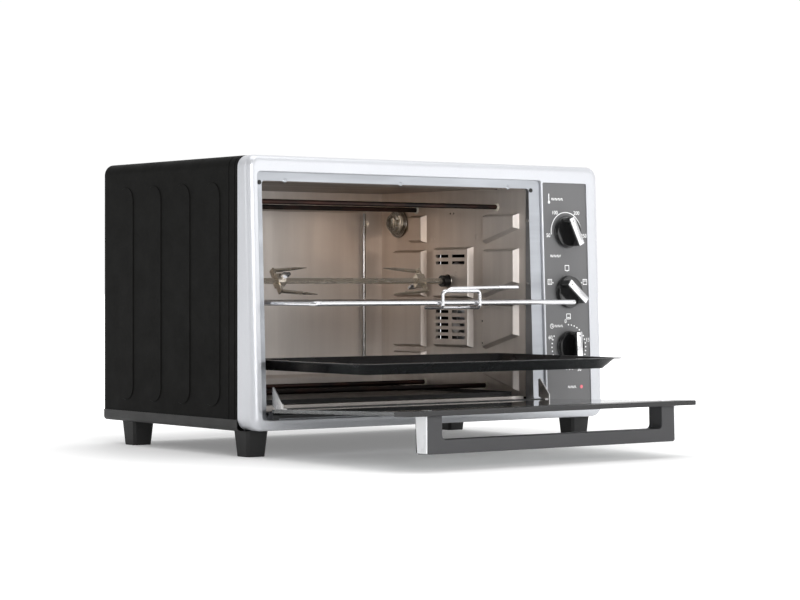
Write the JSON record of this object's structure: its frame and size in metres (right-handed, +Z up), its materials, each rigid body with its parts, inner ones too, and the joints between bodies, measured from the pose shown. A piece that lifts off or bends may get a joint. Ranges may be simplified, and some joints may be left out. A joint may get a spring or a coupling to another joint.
{
  "type": "countertop rotisserie oven",
  "caption": "Countertop electric oven with a drop-down glass door, drawn-out wire rack and baking tray, rotisserie spit with forks, cavity lamp and a control panel with rotary knobs.",
  "frame": {"origin": "on the floor plane, at the middle of the width and of the depth from the open door's edge to the cord gland; in depth this is the seam between case and front bezel", "axes": "+Z up, -Y towards the user (the door), +X to the user's right (the controls)"},
  "size_m": [0.5268, 0.6098, 0.341],
  "materials": {
    "case_enamel": "satin black stove enamel",
    "silver_paint": "fine silver metallic paint",
    "frame_steel": "plated sheet",
    "panel_print": "matt grey moulding with printed dials",
    "knob_plastic": "polished black phenolic",
    "liner_steel": "aluminised sheet, slightly toned by heat",
    "element_dark": "oxidised heater sheath",
    "ceramic": "unglazed ceramic",
    "lamp_chrome": "polished ring",
    "lamp_glass": "clear pressed lens with rings",
    "bulb_glass": "clear bulb",
    "chrome_wire": "bright chromed wire",
    "spit_steel": "ground stainless bar",
    "socket_black": "black drive socket",
    "tray_enamel": "black enamel",
    "pan_steel": "black painted pressing",
    "foot_rubber": "matt black",
    "door_glass": "clear toughened glass, slightly grey",
    "door_black": "black moulded trim",
    "handle_grey": "satin dark grey moulding",
    "cap_white": "pale silver end plate",
    "bright_steel": "zinc plated",
    "motor_steel": "plated can",
    "fan_aluminium": "pressed sheet",
    "control_plastic": "pale thermoset",
    "led_red": "rose tinted lens",
    "gland_black": "moulded gland"
  },
  "bodies": {
    "cabinet": {"outer_case": "case_enamel", "rear_panel": "case_enamel", "base_pan": "pan_steel", "foot_front_left": "foot_rubber", "foot_front_right": "foot_rubber", "foot_rear_left": "foot_rubber", "foot_rear_right": "foot_rubber", "foot_screws": "bright_steel", "front_bezel": "silver_paint", "door_frame": "frame_steel", "control_panel": "panel_print", "power_lens": "led_red", "thermostat": "control_plastic", "selector_switch": "control_plastic", "timer_clockwork": "motor_steel", "liner_left": "liner_steel", "liner_right": "liner_steel", "liner_back": "liner_steel", "liner_roof": "liner_steel", "liner_floor": "liner_steel", "upper_elements": "element_dark", "lower_elements": "element_dark", "element_insulators": "ceramic", "lamp_ring": "lamp_chrome", "lamp_housing": "motor_steel", "lamp_lens": "lamp_glass", "lamp_bulb": "bulb_glass", "spit_support": "bright_steel", "spit_motor": "motor_steel", "fan_motor": "motor_steel", "hinge_blocks": "door_black", "hinge_pins": "bright_steel", "door_bumpers": "foot_rubber", "case_screws": "pan_steel", "cord_inlet": "gland_black", "terminal_block": "control_plastic"},
    "door": {"door_glass": "door_glass", "door_foot_trim": "door_black", "door_head_trim": "door_black", "door_handle": "handle_grey", "handle_caps": "cap_white", "handle_screws": "chrome_wire", "hinge_arms": "bright_steel"},
    "temperature_control": {"knob_temperature": "knob_plastic", "shaft_temperature": "bright_steel"},
    "function_control": {"knob_function": "knob_plastic", "shaft_function": "bright_steel"},
    "timer_control": {"knob_timer": "knob_plastic", "shaft_timer": "bright_steel"},
    "drive": {"drive_socket": "socket_black"},
    "spit": {"spit_rod": "spit_steel"},
    "left_fork": {"fork_left": "spit_steel", "fork_screw_left": "chrome_wire"},
    "right_fork": {"fork_right": "spit_steel", "fork_screw_right": "chrome_wire"},
    "fan": {"fan_wheel": "fan_aluminium"},
    "rack": {"wire_rack": "chrome_wire"},
    "tool": {"lifting_tool": "chrome_wire"},
    "tray": {"baking_tray": "tray_enamel"},
    "crumbs": {"crumb_tray": "pan_steel"}
  },
  "joints": [
    {"name": "door_hinge", "type": "hinge", "parent": "cabinet", "child": "door", "pos_m": [-0.0455, -0.038, 0.0475], "axis": [-1, 0, 0], "range_deg": [0, 90.38]},
    {"name": "rack_slide", "type": "slide", "parent": "cabinet", "child": "rack", "axis": [0, 1, 0], "range_m": [0, 0.135]},
    {"name": "tray_slide", "type": "slide", "parent": "cabinet", "child": "tray", "axis": [0, 1, 0], "range_m": [0, 0.245]},
    {"name": "tool_pull", "type": "slide", "parent": "rack", "child": "tool", "axis": [0, 1, 0], "range_m": [-0.06, 0]},
    {"name": "crumb_tray_slide", "type": "slide", "parent": "cabinet", "child": "crumbs", "axis": [0, 1, 0], "range_m": [-0.12, 0]},
    {"name": "drive_spin", "type": "hinge", "parent": "cabinet", "child": "drive", "pos_m": [0, 0.1314, 0.1988], "axis": [1, 0, 0], "continuous": true},
    {"name": "spit_pull", "type": "slide", "parent": "drive", "child": "spit", "axis": [1, 0, 0], "range_m": [-0.0085, 0]},
    {"name": "left_fork_slide", "type": "slide", "parent": "spit", "child": "left_fork", "axis": [1, 0, 0], "range_m": [-0.06, 0.05]},
    {"name": "right_fork_slide", "type": "slide", "parent": "spit", "child": "right_fork", "axis": [1, 0, 0], "range_m": [-0.05, 0.025]},
    {"name": "fan_spin", "type": "hinge", "parent": "cabinet", "child": "fan", "pos_m": [0.17, 0.126, 0.14], "axis": [1, 0, 0], "continuous": true},
    {"name": "temperature_turn", "type": "hinge", "parent": "cabinet", "child": "temperature_control", "pos_m": [0.208, -0.02413, 0.2595], "axis": [0, 0.9993, -0.0384], "range_deg": [-125, 145]},
    {"name": "function_turn", "type": "hinge", "parent": "cabinet", "child": "function_control", "pos_m": [0.208, -0.02698, 0.1852], "axis": [0, 0.9993, -0.0384], "range_deg": [-130, 140]},
    {"name": "timer_turn", "type": "hinge", "parent": "cabinet", "child": "timer_control", "pos_m": [0.208, -0.0296, 0.1171], "axis": [0, 0.9993, -0.0384], "range_deg": [0, 300]}
  ],
  "couplings": [
    {"joint": "rack_slide", "follows": "door_hinge", "m_per_rad": 0.085574},
    {"joint": "tray_slide", "follows": "door_hinge", "m_per_rad": 0.1553}
  ]
}
